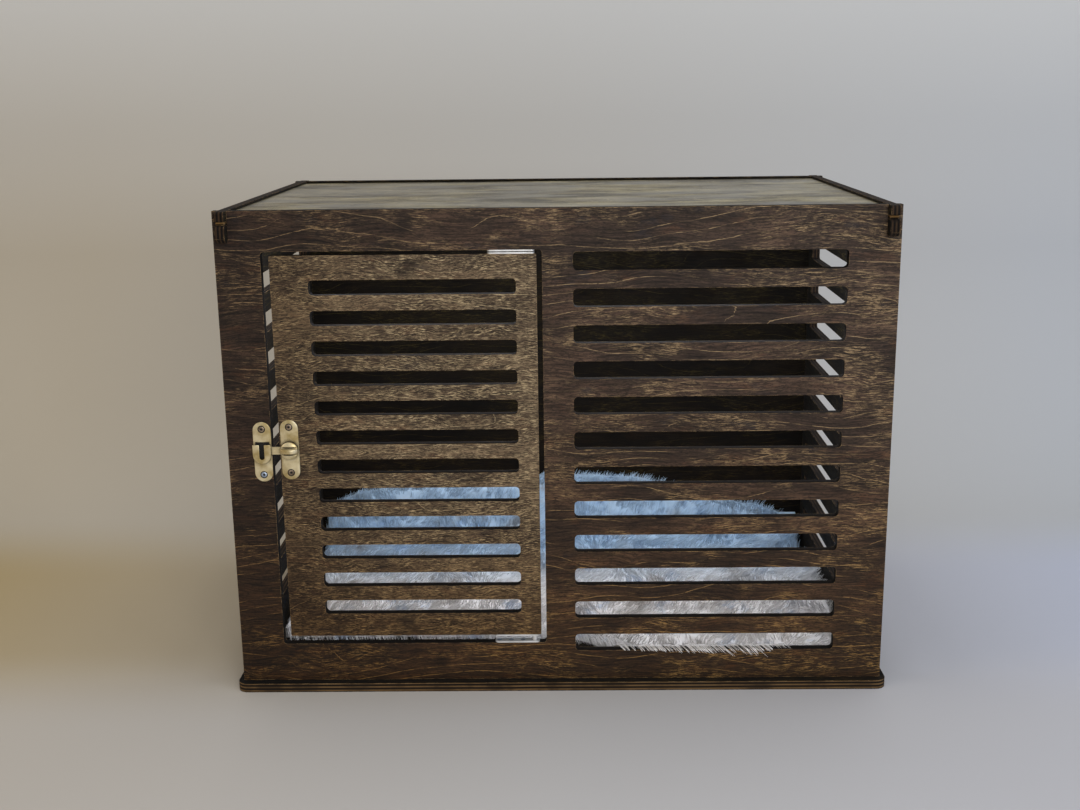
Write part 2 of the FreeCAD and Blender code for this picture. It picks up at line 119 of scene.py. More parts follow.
plyLook = {
    # mm along and across the grain
    "figureSize": (135, 52),    # growth figure
    "waveSize": (70, 49),       # how the fibres wander
    "streakSize": (30, 1.5),    # fibres; real ones are 0.1 wide, too fine to show
    "fibreSize": (8, 0.5),      # fibres that stayed pale; real ones are 0.2 wide
    "poreSize": (5, 0.7),       # pores full of stain
    "speckSize": (3.0, 0.9),    # dark specks of stain
    "blotchSize": (46, 26),     # dark patches of stain
    "lineSpacing": 11, "lineSwing": 5.5, "lineHalf": 0.24,  # mm between lines, lines moved, mm
    "lineBend": 0.16, "lineTremble": 0.05, "leastSlope": 0.012,
    "waveDepth": 9,
    "speckDepth": 0.8,
    "sheet": 8.5, "veneers": 5, "glueWave": 0.12,
    "wearAndHighlightWidth": 0.9,                       # mm, rubbed edges, partly painted highlight
    "warmFrom": 0.0, "warmTo": 330.0,       # mm of height over which the colour gets warmer and darker towards the bottom
    "shadeFrom": -300.0, "shadeTo": 60.0,   # painted shade and light: mm from left to right over which it gets paler, as the light comes from the right
    "knots": (),                            # mm along, across, and radius
    "knotRagged": 10, "knotDepth": 0.7,
    "dryRoughness": 0.42,                   # the stain lies dry on cut edges and on the inside
}


def stainedPly(name, along, across, through, faceAt, look):
    size = {**plyLook, **look}
    material, tree, shader = newMaterial(name)
    place = add(tree, "TexCoord")
    inMm = add(tree, "VectorMath", {"operation": "SCALE", "Scale": 1000},
               {0: place.outputs["Object"]})
    axes = add(tree, "SeparateXYZ", links={0: inMm.outputs[0]}).outputs
    grain = add(tree, "CombineXYZ", links={0: axes[along], 1: axes[across], 2: axes[through]})
    straight = add(tree, "VectorMath", {"operation": "ADD", 1: size["shift"]},
                   {0: grain.outputs[0]}).outputs[0]

    # growth lines: level curves of a swinging field, their width held by the field's slope
    levels = []
    long, short = size["figureSize"]
    for step in ((0, 0, 0), (1, 0, 0), (0, 1, 0)):
        moved = add(tree, "VectorMath", {"operation": "ADD", 1: step}, {0: straight})
        stretch = add(tree, "Mapping", {"Scale": (1 / long, 1 / short, 1 / long)},
                      {"Vector": moved.outputs[0]})
        swing = add(tree, "TexNoise", {"Scale": 1, "Detail": 1.3, "Roughness": 0.4},
                    {"Vector": stretch.outputs[0]})
        row = add(tree, "SeparateXYZ", links={0: moved.outputs[0]})
        even = add(tree, "Math", {"operation": "DIVIDE", 1: size["lineSpacing"]},
                   {0: row.outputs[1]})
        levels.append(add(tree, "Math", {"operation": "MULTIPLY_ADD", 1: size["lineSwing"]},
                          {0: swing.outputs["Fac"], 2: even.outputs[0]}).outputs[0])
    rises = [add(tree, "Math", {"operation": "SUBTRACT"},
                 {0: level, 1: levels[0]}).outputs[0] for level in levels[1:]]
    slope = add(tree, "CombineXYZ", links={0: rises[0], 1: rises[1]})
    slope = add(tree, "VectorMath", {"operation": "LENGTH"}, {0: slope.outputs[0]})
    slope = add(tree, "Math", {"operation": "MAXIMUM", 1: size["leastSlope"]},
                {0: slope.outputs["Value"]})

    # fibres follow a slow wave
    long, short = size["waveSize"]
    stretch = add(tree, "Mapping", {"Scale": (1 / long, 1 / short, 1 / long)},
                  {"Vector": straight})
    wave = add(tree, "TexNoise", {"Scale": 1, "Detail": 1.5, "Roughness": 0.5},
               {"Vector": stretch.outputs[0]})
    sway = add(tree, "Math", {"operation": "MULTIPLY_ADD", 1: size["waveDepth"] * 2},
               {0: wave.outputs["Fac"], 2: axes[across]})
    wandering = add(tree, "CombineXYZ",
                    links={0: axes[along], 1: sway.outputs[0], 2: axes[through]})
    flowing = add(tree, "VectorMath", {"operation": "ADD", 1: size["shift"]},
                  {0: wandering.outputs[0]}).outputs[0]

    patterns = {   # mm along and across the grain, detail, roughness, and what they follow
        "streak": (*size["streakSize"], 4, 0.68, flowing),
        "fibre": (*size["fibreSize"], 3, 0.66, flowing),
        "pore": (*size["poreSize"], 2, 0.6, flowing),
        "blotch": (*size["blotchSize"], 4, 0.62, straight),
        "speck": (*size["speckSize"], 2, 0.7, straight),
        "bend": (16, 6, 2, 0.5, straight),
        "tremble": (3.6, 2.2, 1, 0.5, straight),
        "lineArea": (95, 30, 1, 0.5, straight),
        "lineBreaks": (14, 5, 2, 0.5, straight),
        "fibreArea": (70, 30, 2.5, 0.6, straight),
        "fibreBreaks": (17, 9, 2, 0.5, straight),
        "paleArea": (110, 44, 3, 0.6, straight),
        "rustArea": (44, 17, 3, 0.6, straight),
        "knotEdge": (9, 6, 3, 0.5, straight),
        "glueLine": (40, 12, 2, 0.5, straight),
        "veneerArea": (26, 9, 3, 0.5, straight),
        "wearAndHighlightArea": (9, 5, 3, 0.65, straight),
    }
    fields = {}
    for part, (long, short, detail, roughness, source) in patterns.items():
        stretch = add(tree, "Mapping", {"Scale": (1 / long, 1 / short, 1 / long)},
                      {"Vector": source})
        fields[part] = add(tree, "TexNoise",
                           {"Scale": 1, "Detail": detail, "Roughness": roughness},
                           {"Vector": stretch.outputs[0]}).outputs["Fac"]
    trembling = levels[0]
    for part, most in (("tremble", size["lineTremble"]), ("bend", size["lineBend"])):
        trembling = add(tree, "Math", {"operation": "MULTIPLY_ADD", 1: most},
                        {0: fields[part], 2: trembling}).outputs[0]
    fields["ring"] = add(tree, "Math", {"operation": "FRACT"}, {0: trembling}).outputs[0]
    near = add(tree, "Math", {"operation": "PINGPONG", 1: 0.5}, {0: trembling})
    fields["line"] = add(tree, "Math", {"operation": "DIVIDE"},
                         {0: near.outputs[0], 1: slope.outputs[0]}).outputs[0]

    # cut edges: veneers across the sheet, the crossed ones darker
    normal = add(tree, "SeparateXYZ", links={0: place.outputs["Normal"]})
    facing = normal.outputs[through]
    fields["flat"] = add(tree, "Math", {"operation": "ABSOLUTE"}, {0: facing}).outputs[0]
    fields["inward"] = add(tree, "Math", {"operation": "MULTIPLY", 1: size["inside"]},
                           {0: facing}).outputs[0]
    depth = add(tree, "Math", {"operation": "SUBTRACT", 1: faceAt}, {0: axes[through]})
    uneven = add(tree, "Math", {"operation": "MULTIPLY", 1: size["glueWave"]},
                 {0: fields["glueLine"]})
    layer = add(tree, "Math",
                {"operation": "MULTIPLY_ADD", 1: size["veneers"] / size["sheet"] / 2},
                {0: depth.outputs[0], 2: uneven.outputs[0]})
    fields["veneer"] = add(tree, "Math", {"operation": "PINGPONG", 1: 0.5},
                           {0: layer.outputs[0]}).outputs[0]

    # corners paler: partly rubbed back to pale wood, partly painted highlight where the edges catch
    # the light
    shape = add(tree, "NewGeometry")
    rounded = add(tree, "Bevel", {"samples": 4, "Radius": size["wearAndHighlightWidth"] * mm})
    fields["same"] = add(tree, "VectorMath", {"operation": "DOT_PRODUCT"},
                         {0: rounded.outputs[0], 1: shape.outputs["Normal"]}).outputs["Value"]
    fields["height"], fields["side"] = axes[2], axes[0]

    lineFrom, fibreFrom, half = size["lineFrom"], size["fibreFrom"], size["lineHalf"]
    matt, coat = size["roughness"], size["coat"]
    masks = {   # field, from and to where it changes, and the values there
        "streakBody": ("streak", 0.33, 0.66, 0, 1),
        "streakPale": ("streak", 0.42, 0.62, 0.3, 1),
        "streakRust": ("streak", 0.4, 0.6, 0.3, 1),
        "pale": ("paleArea", 0.42, 0.68, 0, 1),
        "rust": ("rustArea", 0.56, 0.70, 0, size["rustDepth"]),
        "ring": ("ring", 0.1, 1, 0, 0.22),
        "blotch": ("blotch", 0.55, 0.74, 0, 1),
        "pore": ("pore", 0.34, 0.47, 1, 0),
        "fibre": ("fibre", 0.47, 0.66, 0, 1),
        "fibreArea": ("fibreArea", fibreFrom, fibreFrom + 0.24, 0.16, 1),
        "fibreBreaks": ("fibreBreaks", 0.36, 0.60, 0.45, 1),
        "line": ("line", half * 0.5, half * 1.9, 1, 0),
        "lineArea": ("lineArea", lineFrom, lineFrom + 0.16, 0, 1),
        "lineBreaks": ("lineBreaks", 0.34, 0.60, 0.25, 1),
        "speck": ("speck", 0.30, 0.52, size["speckDepth"], 0),
        "low": ("height", size["warmFrom"], size["warmTo"], 1, 0),
        "left": ("side", size["shadeFrom"], size["shadeTo"], 1, 0),
        "inward": ("inward", 0.35, 0.7, 0, 1),
        "onEdge": ("flat", 0.35, 0.7, 1, 0),
        "veneer": ("veneer", 0.22, 0.34, 0, 1),
        "veneerArea": ("veneerArea", 0.36, 0.6, 0.35, 1),
        "rubbedAndHighlitEdge": ("same", 0.80, 0.995, 1, 0),
        "wearAndHighlightArea": ("wearAndHighlightArea", 0.42, 0.62, 0, 1),
        "shine": ("streak", 0.3, 0.7, matt + 0.08, matt - 0.06),
        "varnish": ("blotch", 0.38, 0.64, coat * 1.8, coat * 0.1),
    }
    for number, (spotAlong, spotAcross, radius) in enumerate(size["knots"]):
        gap = add(tree, "VectorMath",
                  {"operation": "DISTANCE", 1: (spotAlong, spotAcross, faceAt)},
                  {0: grain.outputs[0]})
        middle = size["knotRagged"] / 2
        knot = "knot%d" % number
        fields[knot] = add(tree, "Math", {"operation": "MULTIPLY_ADD", 1: size["knotRagged"]},
                           {0: fields["knotEdge"], 2: gap.outputs["Value"]}).outputs[0]
        masks[knot] = (knot, middle + radius * 0.2, middle + radius, size["knotDepth"], 0)
    for part, (field, low, high, start, end) in masks.items():
        masks[part] = add(tree, "MapRange",
                          {"interpolation_type": "SMOOTHSTEP", "From Min": low,
                           "From Max": high, "To Min": start, "To Max": end},
                          {"Value": fields[field]}).outputs[0]

    tones = {}
    for part in ("deep", "stain", "pale", "gold", "rust", "smoke", "edgeDark", "edgePale", "wearAndHighlight",
                 "warm", "shade", "paintedInsideShade"):
        value = add(tree, "RGB")
        value.outputs[0].default_value = linearColour(size[part])
        tones[part] = value.outputs[0]
    crossed = add(tree, "Math", {"operation": "MULTIPLY"},
                  {0: masks["veneer"], 1: masks["veneerArea"]})
    tones["edge"] = add(tree, "Mix", {"data_type": "RGBA"},
                        {"Factor": crossed.outputs[0], 6: tones["edgeDark"],
                         7: tones["edgePale"]}).outputs[2]

    paleFibre = ("fibre", "fibreArea", "fibreBreaks")
    layers = [   # tone, how it goes on, masks, and how strong it gets
        ("stain", "MIX", ("streakBody",), None),
        ("pale", "MIX", ("pale", "streakPale"), None),
        ("rust", "MIX", ("rust", "streakRust"), None),
        ("deep", "MIX", ("ring",), None),
        ("smoke", "MIX", ("blotch",), "blotchDepth"),
        ("deep", "MIX", ("pore",), "poreDepth"),
        ("gold", "MIX", paleFibre, "fibreDepth"),
        ("gold", "MIX", ("line", "lineArea", "lineBreaks"), "lineDepth"),
        *(("deep", "MIX", ("knot%d" % number,), None) for number in range(len(size["knots"]))),
        ("deep", "MIX", ("speck",), None),
        # darker and warmer towards the bottom
        ("warm", "MULTIPLY", ("low",), None),
        # painted shade: darker on the left, paler on the right where the light falls
        ("shade", "MULTIPLY", ("left",), None),
        # painted shade on the inside faces
        ("paintedInsideShade", "MULTIPLY", ("inward",), None),
        ("edge", "MIX", ("onEdge",), None),
        # paler edges: partly rubbed wear, partly painted highlight
        ("wearAndHighlight", "MIX", ("rubbedAndHighlitEdge", "wearAndHighlightArea"), "wearAndHighlightDepth"),
    ]
    body = tones["deep"]
    shown = {}
    for tone, blend, parts, strength in layers:
        amount = masks[parts[0]]
        for part in parts[1:]:
            amount = add(tree, "Math", {"operation": "MULTIPLY"},
                         {0: amount, 1: masks[part]}).outputs[0]
        shown[parts] = amount
        if strength:
            amount = add(tree, "MapRange",
                         {"interpolation_type": "SMOOTHSTEP", "To Max": size[strength]},
                         {"Value": amount}).outputs[0]
        body = add(tree, "Mix", {"data_type": "RGBA", "blend_type": blend},
                   {"Factor": amount, 6: body, 7: tones[tone]}).outputs[2]
    tree.links.new(body, shader.inputs["Base Color"])

    dry = add(tree, "Math", {"operation": "MAXIMUM"}, {0: masks["onEdge"], 1: masks["inward"]})
    rough = add(tree, "Math", {"operation": "MULTIPLY_ADD", 1: size["dryRoughness"]},
                {0: dry.outputs[0], 2: masks["shine"]})
    tree.links.new(rough.outputs[0], shader.inputs["Roughness"])
    tree.links.new(masks["varnish"], shader.inputs["Coat Weight"])
    shader.inputs["Coat Roughness"].default_value = size["coatRoughness"]
    shader.inputs["Specular IOR Level"].default_value = size["gloss"]
    rise = add(tree, "Math", {"operation": "SUBTRACT"}, {0: fields["streak"], 1: shown[paleFibre]})
    relief = add(tree, "Bump", {"Strength": 0.4, "Distance": 0.15 * mm},
                 {"Height": rise.outputs[0]})
    tree.links.new(relief.outputs[0], shader.inputs["Normal"])
    return material


frameStain = {
    "deep": "#1C140F", "stain": "#46352A", "pale": "#674F3F", "gold": "#C2A47A",
    # shade is painted shade, darkening the left side
    "shade": "#D2CCC8", "rust": "#6A452B", "smoke": "#26252A", "edgeDark": "#0D0A08",
    "edgePale": "#1D150E", "wearAndHighlight": "#A88A60", "warm": "#E8D3A4",
    "paintedInsideShade": "#5A5C42", "inside": 1,   # painted shade: the inside is darker, on the face that looks there
    "blotchDepth": 0.6, "rustDepth": 0.4, "poreDepth": 0.85, "fibreDepth": 0.85,
    "fibreFrom": 0.40, "lineDepth": 0.6, "lineFrom": 0.36, "wearAndHighlightDepth": 0.7,
    "roughness": 0.58, "coat": 0.03, "coatRoughness": 0.38, "gloss": 0.22,
    "shift": (310, 40, 0),
}
frontStain = dict(frameStain, knots=((-134, 436, 13), (-112, 26, 12), (20, 404, 9)))
# the door's shade, shadeFrom and shadeTo are painted shade, darker on its left
doorStain = dict(
    frameStain, knots=((-131, 398, 12), (-56, 305, 10), (-143, 66, 14)),
    deep="#20160F", stain="#65523F", pale="#8E775C", gold="#DEC599", rust="#7A553A",
    warm="#B8A078", shade="#D0C8BE", shadeFrom=-260, shadeTo=-120, warmTo=260.0,
    fibreDepth=0.9, fibreFrom=0.20, lineDepth=0.5, lineFrom=0.40, lineSwing=9, blotchDepth=0.5,
    fibreSize=(7, 0.5), poreSize=(5, 0.6), waveSize=(46, 32.2), shift=(-870, 560, 40))
# painted sheen: the top's stain, pale and gold are paler and greyer than the frame's, standing in
# for the grazing reflection of the bright room; its shade is painted shade
topStainWithPaintedSheen = dict(
    frameStain, deep="#1A150C", stain="#5E543A", pale="#B4A574", gold="#D8CA9C", rust="#6E5A3A",
    smoke="#1A1812", warm="#FFFFFF", shade="#EEEAE2", edgeDark="#15100D", edgePale="#5E4630",
    fibreDepth=0.75, lineDepth=0.65, blotchDepth=0.9, blotchSize=(90, 48), poreDepth=0.3,
    lineSpacing=24, lineSwing=7, lineHalf=0.5, lineFrom=0.3, inside=-1,
    roughness=0.45, coat=0.34, coatRoughness=0.3, gloss=0.4, shift=(1210, -90, 300))
sideStain = dict(frameStain, shade="#FFFFFF", edgeDark="#100B08", edgePale="#3A2B1D",
                 shift=(90, 820, 70))
backStain = dict(frameStain, shade="#FFFFFF", inside=-1, shift=(-400, -310, 90))
baseStain = dict(frameStain, edgeDark="#1A130E", edgePale="#6A5234", shift=(700, 910, -60))

x, y, z = 0, 1, 2
panels = {   # axes along, across and through the sheet, and its stain
    "front_panel": ("front", x, z, y, frontStain),
    "door_panel": ("door", x, z, y, doorStain),
    "back_panel": ("back", x, z, y, backStain),
    "top_panel": ("top", x, y, z, topStainWithPaintedSheen),
    "base_panel": ("base", x, y, z, baseStain),
    "side_panel_left": ("left side", y, z, x, sideStain),
    "side_panel_right": ("right side", y, z, x, dict(sideStain, inside=-1)),
}
for nodeName, (name, along, across, through, look) in panels.items():
    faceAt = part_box(nodeName)[0][through] / mm
    dress(nodeName, stainedPly("walnut stained birch plywood " + name, along, across, through,
                               faceAt, look))
print("plywood dressed")

# Cast and plated metal: a cloudy plating, dark in the corners, partly old lacquer and partly
# painted shade


def platedMetal(name, look):
    material, tree, shader = newMaterial(name)
    place = add(tree, "TexCoord")
    clouds = {}
    for part, detail in (("cloud", 3), ("grit", 2)):
        clouds[part] = add(tree, "TexNoise", {"Scale": 1000 / look[part], "Detail": detail},
                           {"Vector": place.outputs["Object"]}).outputs["Fac"]
    amount = add(tree, "MapRange", {"From Min": 0.38, "From Max": 0.64},
                 {"Value": clouds["cloud"]})
    tone = add(tree, "Mix",
               {"data_type": "RGBA", 6: linearColour(look["dull"]),
                7: linearColour(look["bright"])}, {"Factor": amount.outputs[0]})
    # painted shade and patina: darker where the surface is hollowed
    hollow = add(tree, "AmbientOcclusion", {"samples": 6, "Distance": look["patinaAndShadeReach"] * mm})
    outOfHollows = add(tree, "MapRange",
                {"interpolation_type": "SMOOTHSTEP", "From Min": 0.40, "From Max": 0.97},
                {"Value": hollow.outputs["AO"]})
    agedAndShaded = add(tree, "Mix", {"data_type": "RGBA", 6: linearColour(look["patinaAndShade"])},
               {"Factor": outOfHollows.outputs[0], 7: tone.outputs[2]})
    tree.links.new(agedAndShaded.outputs[2], shader.inputs["Base Color"])
    shader.inputs["Metallic"].default_value = look["metallic"]
    matt = add(tree, "MapRange",
               {"To Min": look["roughness"] - 0.06, "To Max": look["roughness"] + 0.1},
               {"Value": clouds["grit"]})
    tree.links.new(matt.outputs[0], shader.inputs["Roughness"])
    relief = add(tree, "Bump", {"Strength": 0.25, "Distance": 0.05 * mm},
                 {"Height": clouds["grit"]})
    tree.links.new(relief.outputs[0], shader.inputs["Normal"])
    return material


metalTerms = "bright", "dull", "patinaAndShade", "patinaAndShadeReach", "metallic", "roughness", "cloud", "grit"
metalLooks = {   # patina and shade reach, cloud and grit in mm
    # cast brass: a soft pale yellow, brown in its hollows, partly patina and partly painted shade
    "antique brass, cast and lacquered": ("#F2E4BE", "#BEA873", "#20190A", 4.8, 0.82, 0.4, 13, 0.7),
    # small turned heads: brown brass
    "aged brass screw": ("#B09D88", "#6F604F", "#1C150E", 1.2, 0.8, 0.36, 4, 0.5),
    # plated hinge leaves: a white satin edge
    "nickel plated steel": ("#F2F2F2", "#D9D8D6", "#5A5650", 0.8, 0.6, 0.42, 12, 0.6),
    # zinc: a cold bluish head
    "zinc plated screw": ("#CDDCF0", "#8F98A6", "#22252B", 1.2, 0.8, 0.32, 5, 0.5),
    # black oxide: it reads as a dark hole
    # painted shade: a black sheet for the keeper's window and the screw seats, where there is only
    # shade
    "black sheet for painted shade": ("#15130F", "#0B0A08", "#050505", 1, 0.2, 0.7, 6, 0.6),
}
brass, agedBrass, nickel, zinc, paintedShadeBlack = [
    platedMetal(name, dict(zip(metalTerms, row))) for name, row in metalLooks.items()]
for nodeName in nodes:
    if "hinge" in nodeName:
        dress(nodeName, zinc if "screw" in nodeName else nickel)
    elif nodeName == "keeper_screw_lower":
        dress(nodeName, zinc)
    elif "screw" in nodeName:
        dress(nodeName, agedBrass)
    elif nodeName.startswith("latch") or nodeName.startswith("keeper"):
        dress(nodeName, brass)
print("metal dressed")


def addPiece(name, corners, faces, material, smooth=True):
    mesh = bpy.data.meshes.new(name)
    mesh.from_pydata(corners, [], faces)
    mesh.materials.append(material)
    if smooth:
        mesh.shade_smooth()
    piece = bpy.data.objects.new(name, mesh)
    bpy.context.scene.collection.objects.link(piece)
    return piece


def boxMm(nodeName):
    return [[c / mm for c in corner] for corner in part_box(nodeName)]


def arcPoints(cx, cz, radius, start, end, steps):
    angles = [math.radians(start + (end - start) * i / steps) for i in range(steps + 1)]
    return [(cx + radius * math.cos(angle), cz + radius * math.sin(angle)) for angle in angles]


def pressedPlate(name, outlines, back, front, bevel, material):
    # outlines in mm on the door's plane; the first is the plate, the others are its holes
    curve = bpy.data.curves.new(name, "CURVE")
    curve.dimensions = "2D"
    curve.fill_mode = "BOTH"
    curve.bevel_depth = bevel * mm
    curve.bevel_resolution = 3
    curve.offset = -bevel * mm
    curve.extrude = ((back - front) / 2 - bevel) * mm
    for outline in outlines:
        spline = curve.splines.new("POLY")
        spline.points.add(len(outline) - 1)
        for point, (px, pz) in zip(spline.points, outline):
            point.co = (px * mm, pz * mm, 0, 1)
        spline.use_cyclic_u = True
    drawn = bpy.data.objects.new(name + "Outline", curve)
    bpy.context.scene.collection.objects.link(drawn)
    bpy.context.view_layer.update()
    mesh = bpy.data.meshes.new_from_object(drawn)
    bpy.data.objects.remove(drawn)
    middle = (back + front) / 2 * mm
    for vertex in mesh.vertices:
        px, pz, py = vertex.co
        vertex.co = (px, middle - py, pz)
    mesh.materials.clear()
    mesh.materials.append(material)
    work = bmesh.new()
    work.from_mesh(mesh)
    bmesh.ops.remove_doubles(work, verts=work.verts, dist=1e-6)
    bmesh.ops.recalc_face_normals(work, faces=work.faces)
    work.to_mesh(mesh)
    work.free()
    piece = bpy.data.objects.new(name, mesh)
    bpy.context.scene.collection.objects.link(piece)
    return piece


# Turn latch: cast plates, crowned and rounded, a folded lip, and a turned knob with a finger ridge

latchLook = {
    "edgeRound": 0.55, "crown": 0.62,   # mm of rounded edge; share of the thickness left there
    "steepness": 1.8, "crownRings": 24,
    "lipHeight": 17.4, "lipRise": 7.4, "lipThickness": 1.1, "slotWidth": 4.6, "slotDepth": 13.8,
    "lipBevel": 0.36, "foldFrom": 205, "foldTo": 335,   # degrees round the keeper's foot
    "windowWidth": 12.4, "windowRise": 1.9, "windowFoot": 4.0, "backing": 0.12,
    "screwRing": 3.4, "ringDrop": 0.62, "seat": 0.25, "socket": 1.1, "socketDepth": 0.3,
    # shares of the head's radius, and mm below its top
    "headProfile": ((0.98, 0.75), (1.0, 0.55), (0.97, 0.36), (0.86, 0.18), (0.65, 0.06)),
    "knobRadius": 8.0, "knobRim": 1.5, "knobDome": 1.5, "ridgeRise": 3.4, "ridgeHalf": 2.2,
    "grooveAt": 3.2, "grooveDepth": 0.9, "knobRings": 54, "knobSpokes": 120,
}


def roundEnded(cx, cz, width, length, steps=24):
    radius = width / 2
    reach = length / 2 - radius
    return (arcPoints(cx, cz + reach, radius, 0, 180, steps)
            + arcPoints(cx, cz - reach, radius, 180, 360, steps))


def ringPiece(name, rings, material, capStart=False, capEnd=True):
    # rings are loops of equal length
    count = len(rings[0])
    corners = [tuple(c * mm for c in corner) for ring in rings for corner in ring]
    faces = []
    for first in range(0, (len(rings) - 1) * count, count):
        for k in range(count):
            after = first + (k + 1) % count
            faces.append((first + k, after, after + count, first + k + count))
    if capEnd:
        faces.append(tuple(range((len(rings) - 1) * count, len(rings) * count)))
    if capStart:
        faces.append(tuple(range(count - 1, -1, -1)))
    return addPiece(name, corners, faces, material)


def crownedPlate(name, low, high, back, front, look):
    cx, cz = (low[0] + high[0]) / 2, (low[2] + high[2]) / 2
    width, length, thick = high[0] - low[0], high[2] - low[2], back - front
    rings = [[(px, back, pz) for px, pz in roundEnded(cx, cz, width, length)]]
    for step in range(look["crownRings"] + 1):
        inset = width / 2 * 0.985 * (step / look["crownRings"]) ** look["steepness"]
        bulge = math.sin(math.pi / 2 * min(1, 2 * inset / width))
        swell = look["crown"] + (1 - look["crown"]) * bulge
        rounded = min(1.0, inset / look["edgeRound"])
        height = thick * swell * (0.35 + 0.65 * math.sqrt(1 - (1 - rounded) ** 2))
        outline = roundEnded(cx, cz, width - 2 * inset, length - 2 * inset)
        rings.append([(px, back - height, pz) for px, pz in outline])
    return ringPiece(name, rings, brass)


def screwPiece(nodeName, material, look):
    # a low dome with a driver socket, on a black ring of painted shade where the plate is
    # countersunk
    low, high = boxMm(nodeName)
    cx, cz, front = (low[0] + high[0]) / 2, (low[2] + high[2]) / 2, low[1]
    radius = (high[0] - low[0]) / 2
    socket = look["socket"]
    profile = ([(radius * share, drop) for share, drop in look["headProfile"]]
               + [(socket + 0.25, 0.0), (socket, 0.08), (socket * 0.94, look["socketDepth"])])
    rimmed = [(look["screwRing"], look["ringDrop"]), (look["screwRing"] - 0.05, look["seat"]),
              (0.3, look["seat"])]
    rings, ring = [[[(px, front + drop, pz) for px, pz in arcPoints(cx, cz, r, 0, 345, 23)]
                    for r, drop in steps] for steps in (profile, rimmed)]
    head = ringPiece("head_" + nodeName, rings, material, capEnd=False)
    seat = ringPiece("seat_" + nodeName, ring, paintedShadeBlack)
    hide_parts(nodeName)
    for piece in (head, seat):
        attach(piece, "door" if nodeName.startswith("latch") else "carcass")


def platePieces(look):
    keeperLow, keeperHigh = boxMm("keeper_plate")
    latchLow, latchHigh = boxMm("latch_plate")
    back, front = latchHigh[1], latchLow[1]
    keeper = crownedPlate("keeperPlate", keeperLow, keeperHigh, back, front, look)
    turnPlate = crownedPlate("latchPlate", latchLow, latchHigh, back, front, look)
    cx, cz = (keeperLow[0] + keeperHigh[0]) / 2, (keeperLow[2] + keeperHigh[2]) / 2
    half = (keeperHigh[0] - keeperLow[0]) / 2
    top = cz + look["lipRise"]
    bottom = top - look["lipHeight"]
    slot = look["slotWidth"] / 2
    slotEnd = top - look["slotDepth"] + slot
    windowHalf = look["windowWidth"] / 2
    windowTop, windowLow = top + look["windowRise"], bottom + half - look["windowFoot"]
    left, right = cx - windowHalf, cx + windowHalf
    # painted shade: a black sheet fills the keeper's window, which is only shaded
    window = pressedPlate("keeperWindow", [[(left, windowLow), (left, windowTop),
                                            (right, windowTop), (right, windowLow)]],
                          front + 0.2, front - look["backing"], 0.02, paintedShadeBlack)
    lipOutline = ([(cx + half, top), (cx + slot, top)] + arcPoints(cx, slotEnd, slot, 0, -180, 16)
                  + [(cx - slot, top), (cx - half, top)]
                  + arcPoints(cx, bottom + half, half, 180, 360, 32))
    lipBack = keeperLow[1] + look["lipThickness"]
    lip = pressedPlate("keeperLip", [lipOutline], lipBack, keeperLow[1], look["lipBevel"], brass)
    # the fold that carries the lip
    start, end = look["foldFrom"], look["foldTo"]
    outer = arcPoints(cx, bottom + half, half - 0.05, start, end, 28)
    inner = arcPoints(cx, bottom + half, half - look["lipThickness"], end, start, 28)
    fold = pressedPlate("keeperFold", [outer + inner], back, lipBack - 0.3, 0.1, brass)
    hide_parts("keeper_plate")
    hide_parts("latch_plate")
    for piece in (keeper, window, lip, fold):
        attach(piece, "carcass")
    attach(turnPlate, "door")


def knobPiece(look):
    low, high = boxMm("latch_knob")
    cx = (low[0] + high[0]) / 2
    cz = (low[2] + high[2]) / 2
    back = high[1]
    radius = look["knobRadius"]

    def rise(px, pz):
        share = min(1.0, math.hypot(px, pz) / radius)
        dome = look["knobRim"] + look["knobDome"] * (1 - share ** 3)
        across = abs(pz)
        ridge = 1 / (1 + math.exp((across - look["ridgeHalf"]) * 5.5))
        ridge *= look["ridgeRise"] * (1 - 0.6 * (abs(px) / radius) ** 2.4)
        groove = look["grooveDepth"] * math.exp(-((across - look["grooveAt"]) / 0.5) ** 2)
        return min(dome + ridge - groove * (1 - share ** 6), back - low[1])

    rings, spokes = look["knobRings"], look["knobSpokes"]
    turns = [2 * math.pi * k / spokes for k in range(spokes)]
    placed = [[(cx + radius * math.cos(turn), back - drop, cz + radius * math.sin(turn))
               for turn in turns] for drop in (0.0, 0.8)]
    for r in range(rings, 0, -1):
        reach = radius * (r / rings) ** 0.8
        spots = [(reach * math.cos(turn), reach * math.sin(turn)) for turn in turns]
        placed.append([(cx + px, back - rise(px, pz), cz + pz) for px, pz in spots])
    knob = ringPiece("latchKnob", placed, brass, capStart=True)
    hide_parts("latch_knob")
    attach(knob, "latch_turn")


platePieces(latchLook)
knobPiece(latchLook)
for nodeName in nodes:
    if nodeName.startswith(("latch_screw", "keeper_screw")):
        screwPiece(nodeName, zinc if nodeName == "keeper_screw_lower" else agedBrass, latchLook)
print("latch made")

# Wedges that close the split in each corner tab, cut from the same plywood; their pale cut ends are
# the birch and also a painted highlight for the glint between the lobes

wedgeLook = {   # mm
    "splitDrop": 8.8, "splitHeight": 3.6, "slack": 0.35, "setBack": 4.6, "length": 30.0,
    "taper": 0.5, "sideGap": 0.4, "bevel": 0.45,
}


